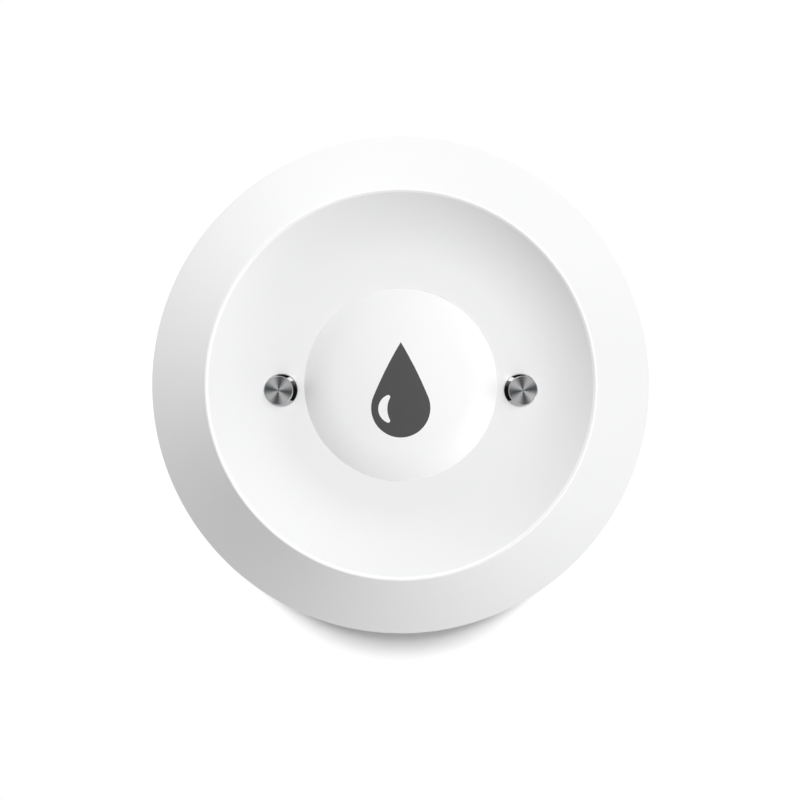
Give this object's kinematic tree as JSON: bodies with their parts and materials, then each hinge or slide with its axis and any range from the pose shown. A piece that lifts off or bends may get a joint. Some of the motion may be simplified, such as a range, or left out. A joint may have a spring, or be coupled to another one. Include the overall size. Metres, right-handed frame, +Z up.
{
  "type": "water leak sensor",
  "caption": "Round white water leak sensor with a flared rim, a drip dish with steel probe posts, a domed push button with a drop mark, and a twist-lock battery door underneath.",
  "frame": {"origin": "on the floor under the middle of the case, level with the bottoms of the feet", "axes": "+Z up out of the marked face, +Y toward the tip of the drop mark, +X toward the right-hand probe post"},
  "size_m": [0.065, 0.065, 0.0181],
  "materials": {
    "white_plastic": "satin moulded",
    "mark_grey": "satin moulded",
    "silicone": "matt",
    "black_rubber": "matt",
    "probe_steel": "turned faces, polished sides",
    "screw_steel": "plain",
    "cell_steel": "bright",
    "brass": "plain",
    "shield_tin": "tinned",
    "board_green": "solder mask",
    "chip_black": "matt",
    "led_lens": "clear"
  },
  "bodies": {
    "case": {"top_shell": "white_plastic", "base_shell": "white_plastic", "case_gasket": "silicone", "case_screws": "screw_steel", "rubber_feet": "black_rubber", "top_probe_left": "probe_steel", "top_probe_right": "probe_steel", "probe_o_rings": "black_rubber", "probe_standoffs": "brass", "floor_probes": "probe_steel", "floor_probe_o_rings": "black_rubber", "floor_probe_standoffs": "brass", "circuit_board": "board_green", "board_screws": "screw_steel", "tact_switch": "chip_black", "status_led": "led_lens", "chip_parts": "chip_black", "radio_board": "board_green", "radio_shield": "shield_tin", "battery_holder": "chip_black", "positive_contact": "brass", "negative_contact": "brass", "coin_cell": "cell_steel"},
    "button": {"button_cap": "white_plastic", "drop_mark": "mark_grey", "button_seal": "silicone"},
    "plunger": {"tact_plunger": "chip_black"},
    "door": {"battery_door": "white_plastic", "door_o_ring": "silicone"}
  },
  "joints": [
    {"name": "button_press", "type": "slide", "parent": "case", "child": "button", "axis": [0, 0, -1], "range_m": [0, 0.0004], "stiffness_N_per_m": 1500},
    {"name": "switch_plunger", "type": "slide", "parent": "case", "child": "plunger", "axis": [0, 0, -1], "range_m": [0, 0.00025]},
    {"name": "battery_door_turn", "type": "hinge", "parent": "case", "child": "door", "pos_m": [0, 0, 0.001], "axis": [0, 0, -1], "range_deg": [0, 30]}
  ],
  "couplings": [
    {"joint": "switch_plunger", "follows": "button_press", "ratio": 0.625}
  ]
}
